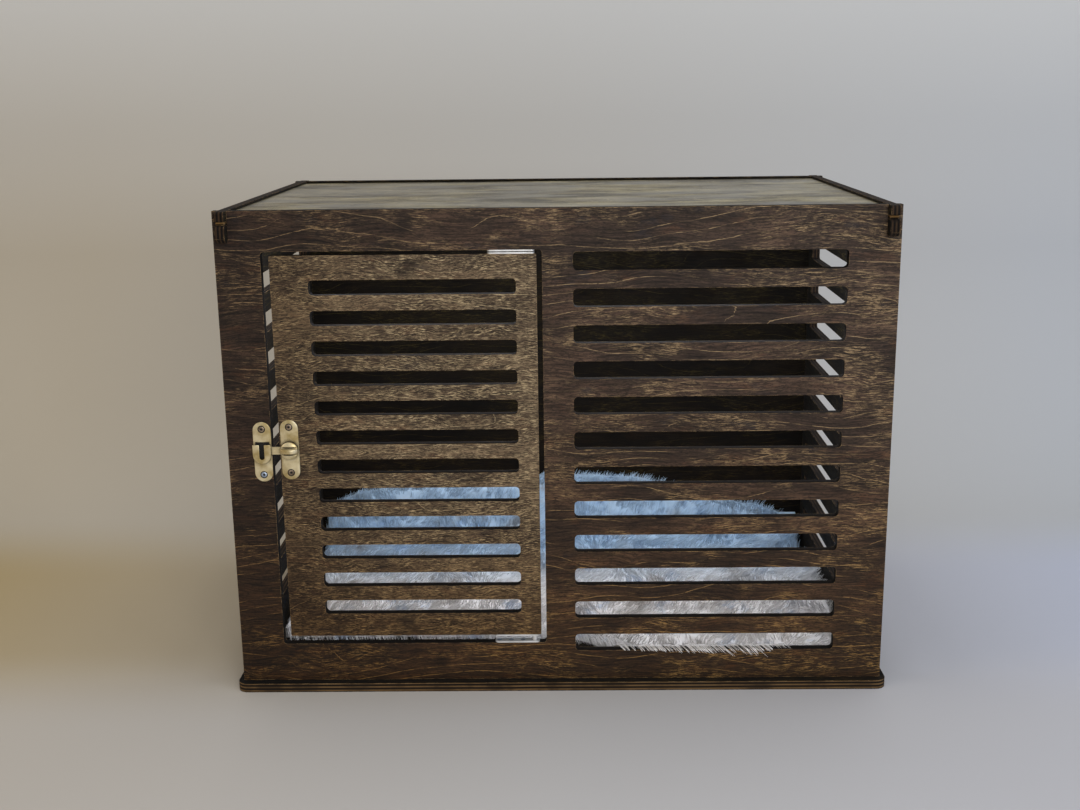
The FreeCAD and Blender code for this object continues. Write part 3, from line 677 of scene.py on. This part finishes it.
def wedgePieces(look):
    # the pale edge tone is the birch end grain and a painted highlight
    ply = stainedPly("birch plywood wedge", x, y, z, 0.0,
                     dict(frameStain, edgeDark="#1E150D", edgePale="#8C6A3C", inside=0))
    for side in ("side_panel_left", "side_panel_right"):
        low, high = boxMm(side)
        left, right = low[0] + look["sideGap"], high[0] - look["sideGap"]
        top = high[2] - look["splitDrop"] - look["slack"]
        foot = top - look["splitHeight"] + 2 * look["slack"]
        for end, outward in ((low[1], 1), (high[1], -1)):
            work = bmesh.new()
            tip, tail = end + outward * look["setBack"], end + outward * look["length"]
            corners = [(px, py, pz) for py, ease in ((tip, 0), (tail, look["taper"]))
                       for px, pz in ((left, foot + ease), (right, foot + ease),
                                      (right, top - ease), (left, top - ease))]
            spots = [work.verts.new(tuple(c * mm for c in corner)) for corner in corners]
            for face in ((0, 1, 2, 3), (7, 6, 5, 4), (0, 4, 5, 1), (1, 5, 6, 2), (2, 6, 7, 3),
                         (3, 7, 4, 0)):
                work.faces.new([spots[i] for i in face])
            bmesh.ops.bevel(work, geom=list(work.edges), offset=look["bevel"] * mm, segments=2,
                            affect="EDGES")
            bmesh.ops.recalc_face_normals(work, faces=work.faces)
            mesh = bpy.data.meshes.new("tabWedge")
            work.to_mesh(mesh)
            work.free()
            mesh.materials.append(ply)
            name = "tabWedge_%s_%s" % (side.split("_")[-1], "front" if outward > 0 else "rear")
            wedge = bpy.data.objects.new(name, mesh)
            bpy.context.scene.collection.objects.link(wedge)
            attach(wedge, "carcass")


wedgePieces(wedgeLook)
print("tab wedges made")

# Shaggy mat: acrylic long pile on a pad, flat on the base and run up the back panel

matLook = {
    # mm from the middle, and mm of the front edge behind the front panel's face
    "front": [(-283, 97), (-180, 99), (-60, 94), (10, 89), (48, 67), (80, 40), (112, 23),
              (180, 16), (283, 15)],
    # mm from the middle, and mm of the top edge above the base
    "top": [(-283, 56), (-230, 73), (-190, 82), (-120, 87), (20, 91), (84, 88), (146, 73),
            (228, 53), (283, 31)],
    "bend": 42.0, "padThickness": 14.0, "padEdge": 11, "padColumns": 150, "padRows": 96,
    "lumps": ((23, 17, 3, 2.4), (8, 6, 9, 1.5)),   # mm along and across, noise layer, mm high
    "pileHeight": 23.0, "sillHeight": 28.2,
    "clumps": 5400, "strandsPerClump": 7, "clumpSpread": 2.6,
    "strandWidth": 0.75, "strandLength": (13, 21),
    "fringePerMm": 3.0, "fringeLength": (9, 17), "crestPerMm": 3.0, "crestLength": (5, 11),
    "sill": (56, 214, 250),   # from x, to x, hairs that come over the front panel's lowest sill
    "locks": ((146, 17, 1.0), (177, 13, 1.1), (110, 30, 0.5)),   # x, width and reach of each
    "seed": 5,
}


def smoothBetween(points, px):
    if px <= points[0][0]:
        return points[0][1]
    for (x0, v0), (x1, v1) in zip(points, points[1:]):
        if px <= x1:
            t = (px - x0) / (x1 - x0)
            return v0 + (v1 - v0) * t * t * (3 - 2 * t)
    return points[-1][1]


class MatShape:
    def __init__(self, look):
        low, high = boxMm("floor_mat")
        self.look = look
        self.left, self.right = low[0], high[0]
        self.floor = low[2]
        self.wall = high[1]
        self.face = boxMm("front_panel")[0][1]
        self.bend = look["bend"]

    def lengths(self, px):
        flat = self.wall - self.bend - (self.face + smoothBetween(self.look["front"], px))
        arc = math.pi / 2 * self.bend
        rise = max(0.0, smoothBetween(self.look["top"], px) - self.bend)
        return flat, arc, rise

    def total(self, px):
        return sum(self.lengths(px))

    def point(self, px, run, height):
        # run is mm along the backing from the front edge, height is mm above it
        flat, arc, rise = self.lengths(px)
        if run <= flat:
            return (Vector((px, self.wall - self.bend - flat + run, self.floor + height)),
                    Vector((0, 0, 1)), Vector((0, 1, 0)))
        run -= flat
        if run <= arc:
            angle = run / self.bend
            across, up = math.sin(angle), math.cos(angle)
            reach = self.bend - height
            spot = Vector((px, self.wall - self.bend + across * reach,
                           self.floor + self.bend - up * reach))
            return spot, Vector((0, -across, up)), Vector((0, up, across))
        run -= arc
        return (Vector((px, self.wall - height, self.floor + self.bend + run)),
                Vector((0, -1, 0)), Vector((0, 0, 1)))


def padPiece(shape, material):
    look = shape.look
    columns, rows = look["padColumns"], look["padRows"]
    corners, faces = [], []
    for layer in (0, 1):
        for i in range(columns + 1):
            px = shape.left + 2 + (shape.right - shape.left - 4) * i / columns
            total = shape.total(px)
            for j in range(rows + 1):
                run = total * j / rows
                border = min(px - shape.left, shape.right - px, run, total - run)
                edge = max(0.0, min(1.0, border / look["padEdge"]))
                edge = math.sqrt(1 - (1 - edge) ** 2)
                lump = sum(noise.noise(Vector((px / long, run / short, level))) * high
                           for long, short, level, high in look["lumps"])
                height = 0.3 if layer == 0 else 1.0 + (look["padThickness"] + lump) * edge
                corners.append(tuple(c * mm for c in shape.point(px, run, height)[0]))
    wide = rows + 1
    count = (columns + 1) * wide
    for i in range(columns):
        for j in range(rows):
            a = i * wide + j
            faces.append((a, a + 1, a + wide + 1, a + wide))
            faces.append((count + a, count + a + wide, count + a + wide + 1, count + a + 1))
    border = ([i * wide for i in range(columns + 1)]
              + [columns * wide + j for j in range(1, rows + 1)]
              + [i * wide + rows for i in range(columns - 1, -1, -1)]
              + list(range(rows - 1, 0, -1)))
    for a, b in zip(border, border[1:] + border[:1]):
        faces.append((a, b, count + b, count + a))
    pad = addPiece("furMat", corners, faces, material)
    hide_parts("floor_mat")
    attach(pad, "carcass")
    return pad


def pilePiece(shape, material, parent):
    look = shape.look
    chance = random.Random(look["seed"])
    corners, faces, tints = [], [], []

    def strand(path, width, tint):
        # a flat hair that narrows to its tip, along the points of its path
        start = len(corners)
        heading = (path[-1] - path[0]).normalized()
        toward = Vector((chance.uniform(-0.5, 0.5), chance.uniform(-1.2, -0.2),
                         chance.uniform(-0.2, 1)))
        side = heading.cross(toward)
        side = side.normalized() if side.length > 1e-4 else Vector((1, 0, 0))
        for i, point in enumerate(path):
            half = width / 2 * (1 - 0.86 * (i / (len(path) - 1)) ** 1.6)
            corners.append(tuple((point - side * half) * mm))
            corners.append(tuple((point + side * half) * mm))
            # painted shade: each hair darker towards its root; the rest of the tint varies at
            # random
            tints.extend([tint * (0.86 + 0.14 * i / (len(path) - 1))] * 2)
        for i in range(len(path) - 1):
            a = start + 2 * i
            faces.append((a, a + 1, a + 3, a + 2))

    for _ in range(look["clumps"]):
        px = chance.uniform(shape.left + 3, shape.right - 3)
        total = shape.total(px)
        run = total * chance.random()
        spot, normal, along = shape.point(px, run, look["padThickness"] - 1)
        lean = noise.noise(Vector((px / 60, run / 50, 21))) * 1.3
        lift = 0.55 if normal.z > 0.5 else 0.35
        climb = 0.25 + 0.75 * (1 - normal.z) - 0.5 * normal.z
        drift = Vector((lean + 0.35, 0, 0)) + along * climb
        heading = (normal * lift + drift).normalized()
        length = chance.uniform(*look["strandLength"])
        clumpTint = 0.89 + 0.11 * chance.random()
        tip = spot + heading * length
        for _ in range(look["strandsPerClump"]):
            spread = look["clumpSpread"]
            rootX = min(max(px + chance.gauss(0, spread), shape.left + 2), shape.right - 2)
            rootRun = min(max(run + chance.gauss(0, spread), 0), shape.total(rootX))
            root, outward = shape.point(rootX, rootRun, look["padThickness"] - 2)[:2]
            stray = Vector([chance.gauss(0, 0.18) for _ in range(3)])
            end = root + (heading + stray) * length * chance.uniform(0.7, 1.05)
            end = end.lerp(tip, 0.45)
            end.y = min(end.y, shape.wall - 0.5)
            end.z = max(end.z, shape.floor + 1)
            if end.y > shape.wall - shape.bend:
                end.z = min(end.z, shape.floor + smoothBetween(look["top"], end.x) + 7)
            else:
                end.z = min(end.z, shape.floor + look["pileHeight"] + 1.5)
            end.y = max(end.y, shape.face + 9.5)
            middle = root.lerp(end, 0.5) + outward * length * 0.12
            strand([root, middle, end], look["strandWidth"] * chance.uniform(0.7, 1.2),
                   clumpTint * chance.uniform(0.85, 1.05))

    # fringe along the front edge, longer and hanging to the right
    width = shape.right - shape.left
    for _ in range(int(width * look["fringePerMm"])):
        px = shape.left + 3 + chance.random() * (width - 6)
        gather = noise.noise(Vector((px / 11, 0, 40)))
        frontY = shape.face + smoothBetween(look["front"], px)
        height = look["padThickness"] * chance.uniform(0.3, 1.0)
        root = Vector((px, frontY + 3, shape.floor + height))
        reach = chance.uniform(*look["fringeLength"]) * (1 + 0.5 * gather)
        if frontY - reach < shape.face + 9:
            reach = max(1.0, frontY - shape.face - 9.2)
        end = Vector((px + reach * 0.55, frontY - reach, shape.floor + max(0.8, height * 0.25)))
        middle = root.lerp(end, 0.5) + Vector((0, 0, 3.5))
        strand([root, middle, end], look["strandWidth"], chance.uniform(0.8, 1.0))

    # tufts along the top edge on the back panel
    for _ in range(int(width * look["crestPerMm"])):
        px = shape.left + 3 + chance.random() * (width - 6)
        gather = noise.noise(Vector((px / 7, 0, 77)))
        edge = shape.floor + smoothBetween(look["top"], px)
        away = chance.uniform(2, look["padThickness"])
        root = Vector((px, shape.wall - away, edge - 6))
        reach = chance.uniform(*look["crestLength"]) * (1 + 0.6 * gather)
        end = root + Vector((reach * (0.35 + chance.gauss(0, 0.25) + gather * 0.6),
                             -chance.uniform(0, 3), 6 + reach * 0.7))
        middle = root.lerp(end, 0.5) + Vector((-0.6, 0, 0.8))
        strand([root, middle, end], look["strandWidth"], chance.uniform(0.85, 1.0))

    # hairs over the lowest sill at the right, hanging on the front panel's face in uneven locks
    low, high, count = look["sill"]
    sillTop = shape.floor + look["sillHeight"]
    for _ in range(count):
        px = low + (high - low) * chance.random()
        lock = noise.noise(Vector((px / 5, 0, 55)))
        reach = 0.15
        for lockX, lockWidth, most in look["locks"]:
            reach += most * math.exp(-((px - lockX) / lockWidth) ** 2)
        hang = reach * (0.8 + 4.6 * chance.random()) * (1 + 1.2 * lock) - 0.5
        slant = 0.8 + 0.5 * chance.random()
        root = Vector((px - 6, shape.face + 17 + 6 * chance.random(),
                       shape.floor + look["pileHeight"] + 0.5))
        crossing = Vector((px - 1, shape.face + 8, sillTop + 0.5 + 1.5 * chance.random()))
        front = Vector((px + 3, shape.face - 0.4, sillTop + 0.2 + 0.7 * chance.random()))
        path = [root, crossing, front]
        if hang > 0.3:
            path.append(front + Vector((hang * slant, -0.4 - 0.5 * chance.random(),
                                        -hang - 0.3)))
        else:
            path[2] = crossing.lerp(front, chance.uniform(0.3, 1))
        strand(path, look["strandWidth"] * 1.3, chance.uniform(0.9, 1.05))
    mesh = addPiece("furPile", corners, faces, material, smooth=False)
    shade = mesh.data.attributes.new("tint", "FLOAT", "POINT")
    shade.data.foreach_set("value", tints)
    mesh.parent = parent
    return mesh


furLook = {
    "rear": "#C3DCF1", "fore": "#F6F2EF",
    "rearFrom": -40, "rearTo": 175,   # painted shade: mm of depth over which the white turns blue towards the back
    # tone, mm across a cloud, where it starts and is full, and how strong it gets
    "clouds": (("#9C9084", 60, 0.56, 0.70, 0.55), ("#86ACD4", 36, 0.54, 0.72, 0.5)),
    "roughness": 0.75, "gloss": 0.25, "sheen": 0.25,
}


def furMaterial(name, usesTint, look):
    # acrylic pile: soft and matt, white with beige clouds, and painted shade, blue towards the back
    material, tree, shader = newMaterial(name)
    place = add(tree, "TexCoord")
    inMm = add(tree, "VectorMath", {"operation": "SCALE", "Scale": 1000},
               {0: place.outputs["Object"]})
    axes = add(tree, "SeparateXYZ", links={0: inMm.outputs[0]})
    depth = add(tree, "MapRange",
                {"interpolation_type": "SMOOTHSTEP", "From Min": look["rearFrom"],
                 "From Max": look["rearTo"]}, {"Value": axes.outputs[1]})
    body = add(tree, "Mix",
               {"data_type": "RGBA", 6: linearColour(look["fore"]),
                7: linearColour(look["rear"])}, {"Factor": depth.outputs[0]}).outputs[2]
    for tone, size, low, high, most in look["clouds"]:
        cloud = add(tree, "TexNoise", {"Scale": 1 / size, "Detail": 3, "Roughness": 0.6},
                    {"Vector": inMm.outputs[0]})
        amount = add(tree, "MapRange",
                     {"interpolation_type": "SMOOTHSTEP", "From Min": low,
                      "From Max": high, "To Max": most}, {"Value": cloud.outputs["Fac"]})
        body = add(tree, "Mix", {"data_type": "RGBA", 7: linearColour(tone)},
                   {"Factor": amount.outputs[0], 6: body}).outputs[2]
    if usesTint:
        own = add(tree, "Attribute", {"attribute_name": "tint"})
        body = add(tree, "VectorMath", {"operation": "SCALE"},
                   {0: body, "Scale": own.outputs["Fac"]}).outputs[0]
    tree.links.new(body, shader.inputs["Base Color"])
    shader.inputs["Roughness"].default_value = look["roughness"]
    shader.inputs["Specular IOR Level"].default_value = look["gloss"]
    shader.inputs["Sheen Weight"].default_value = look["sheen"]
    return material


matShape = MatShape(matLook)
pad = padPiece(matShape, furMaterial("acrylic pile backing", False, furLook))
pilePiece(matShape, furMaterial("acrylic long pile hairs", True, furLook), pad)
print("mat made")

# Stage: paper sweep, pale, with painted shadow and light, and soft lamps

stageLook = {   # m
    "halfWidth": 4.0, "front": -4.0, "bendStart": 0.30, "bendRadius": 0.5, "top": 3.2,
    "near": ("#BBB2A4", "#BDBBBA", "#BBBCC4"),    # paper in front of the crate, left to right; warm on the left and cool on the right is painted light
    # painted shadow of the crate on the left of the floor, painted cool light on the right
    "floor": ("#A8946A", "#B7B2AB", "#B6BCCE"),
    # painted light: warm on the left and cool on the right
    "wall": ("#B6AD9D", "#BAB6AF", "#B7B9BC"),
    "tintReach": 0.75,
    "nearTo": (-0.27, -0.09), "floorTo": (0.10, 0.33),   # depths over which a tint gives way
    "paleTop": "#D3D3D1", "paleFrom": 0.30, "paleTo": 0.70,   # painted light: height over which it pales
    "roughness": 0.9, "gloss": 0.2,
}


def paperSweep(look):
    points = [(look["front"], 0.0), (look["bendStart"], 0.0)]
    for i in range(1, 25):
        angle = math.pi / 2 * i / 24
        points.append((look["bendStart"] + look["bendRadius"] * math.sin(angle),
                       look["bendRadius"] * (1 - math.cos(angle))))
    points.append((look["bendStart"] + look["bendRadius"], look["top"]))
    across = [-look["halfWidth"] + i * look["halfWidth"] / 10 for i in range(21)]
    corners = [(px, py, pz) for py, pz in points for px in across]
    wide = len(across)
    faces = [(r * wide + c, r * wide + c + 1, (r + 1) * wide + c + 1, (r + 1) * wide + c)
             for r in range(len(points) - 1) for c in range(wide - 1)]
    mesh = bpy.data.meshes.new("paperSweep")
    mesh.from_pydata(corners, [], faces)
    mesh.shade_smooth()
    sweep = bpy.data.objects.new("paperSweep", mesh)
    bpy.context.scene.collection.objects.link(sweep)

    # matt background paper: a ground that takes soft shadows, with painted shadow and light in its
    # colour as well
    material, tree, shader = newMaterial("matt background paper")
    place = add(tree, "TexCoord")
    axes = add(tree, "SeparateXYZ", links={0: place.outputs["Object"]})
    share = add(tree, "MapRange", {"From Min": -look["tintReach"], "From Max": look["tintReach"]},
                {"Value": axes.outputs[0]})
    tints = []
    for part in ("near", "floor", "wall"):
        tint = add(tree, "ValToRGB", links={0: share.outputs[0]})
        stops = tint.color_ramp.elements
        stops[0].color = linearColour(look[part][0])
        stops[1].color = linearColour(look[part][2])
        stops.new(0.5).color = linearColour(look[part][1])
        tints.append(tint.outputs[0])
    body = tints[0]
    for tint, (low, high) in zip(tints[1:], (look["nearTo"], look["floorTo"])):
        behind = add(tree, "MapRange",
                     {"interpolation_type": "SMOOTHSTEP", "From Min": low, "From Max": high},
                     {"Value": axes.outputs[1]})
        body = add(tree, "Mix", {"data_type": "RGBA"},
                   {"Factor": behind.outputs[0], 6: body, 7: tint}).outputs[2]
    climb = add(tree, "MapRange", {"From Min": look["paleFrom"], "From Max": look["paleTo"]},
                {"Value": axes.outputs[2]})
    pale = add(tree, "Mix", {"data_type": "RGBA", 7: linearColour(look["paleTop"])},
               {"Factor": climb.outputs[0], 6: body})
    tree.links.new(pale.outputs[2], shader.inputs["Base Color"])
    shader.inputs["Roughness"].default_value = look["roughness"]
    shader.inputs["Specular IOR Level"].default_value = look["gloss"]

    # from behind the camera looks through the paper, so that the crate's back can be seen
    side = add(tree, "NewGeometry")
    ray = add(tree, "LightPath")
    seenBehind = add(tree, "Math", {"operation": "MULTIPLY"},
                     {0: side.outputs["Backfacing"], 1: ray.outputs["Is Camera Ray"]})
    clear = add(tree, "BsdfTransparent")
    either = add(tree, "MixShader",
                 links={0: seenBehind.outputs[0], 1: shader.outputs[0], 2: clear.outputs[0]})
    output = [node for node in tree.nodes if node.type == "OUTPUT_MATERIAL"][0]
    tree.links.new(either.outputs[0], output.inputs["Surface"])
    mesh.materials.append(material)


paperSweep(stageLook)

lamps = {   # place and aim in m, width and depth in m, power in W, colour
    "softboxFront": ((0.75, -2.75, 1.05), (0, 0, 0.2), 1.1, 1.1, 26, "#FFFDF8"),
    "overhead": ((0.2, -0.1, 2.6), (0, 0.1, 0.3), 2.4, 2.4, 26, "#FFFFFF"),
    "windowRight": ((2.3, -1.6, 1.3), (0, 0, 0.2), 1.6, 1.6, 16, "#CFE0FF"),
    "lampLeft": ((-2.2, -1.0, 1.2), (0, 0, 0.25), 1.2, 1.2, 7, "#FFDFB0"),
    # little light comes in through the slots, so a small lamp under the table top lights the mat
    "cabin": ((0, -0.11, 0.425), (0, 0.06, 0.05), 0.5, 0.08, 1.65, "#F4F7FF"),
}
for name, (place, aim, width, depth, power, colour) in lamps.items():
    data = bpy.data.lights.new(name, "AREA")
    data.shape = "RECTANGLE"
    data.size, data.size_y = width, depth
    data.energy = power
    data.color = linearColour(colour)[:3]
    light = bpy.data.objects.new(name, data)
    bpy.context.scene.collection.objects.link(light)
    light.location = place
    light.rotation_euler = (Vector(aim) - Vector(place)).to_track_quat("-Z", "Y").to_euler()

world = bpy.data.worlds.new("studio room")
world.use_nodes = True
world.node_tree.nodes.clear()
room = add(world.node_tree, "Background", {"Color": linearColour("#DADCDE"), "Strength": 0.5})
add(world.node_tree, "OutputWorld", links={"Surface": room.outputs[0]})
bpy.context.scene.world = world
bpy.context.scene.view_settings.view_transform = "Standard"
print("stage set")
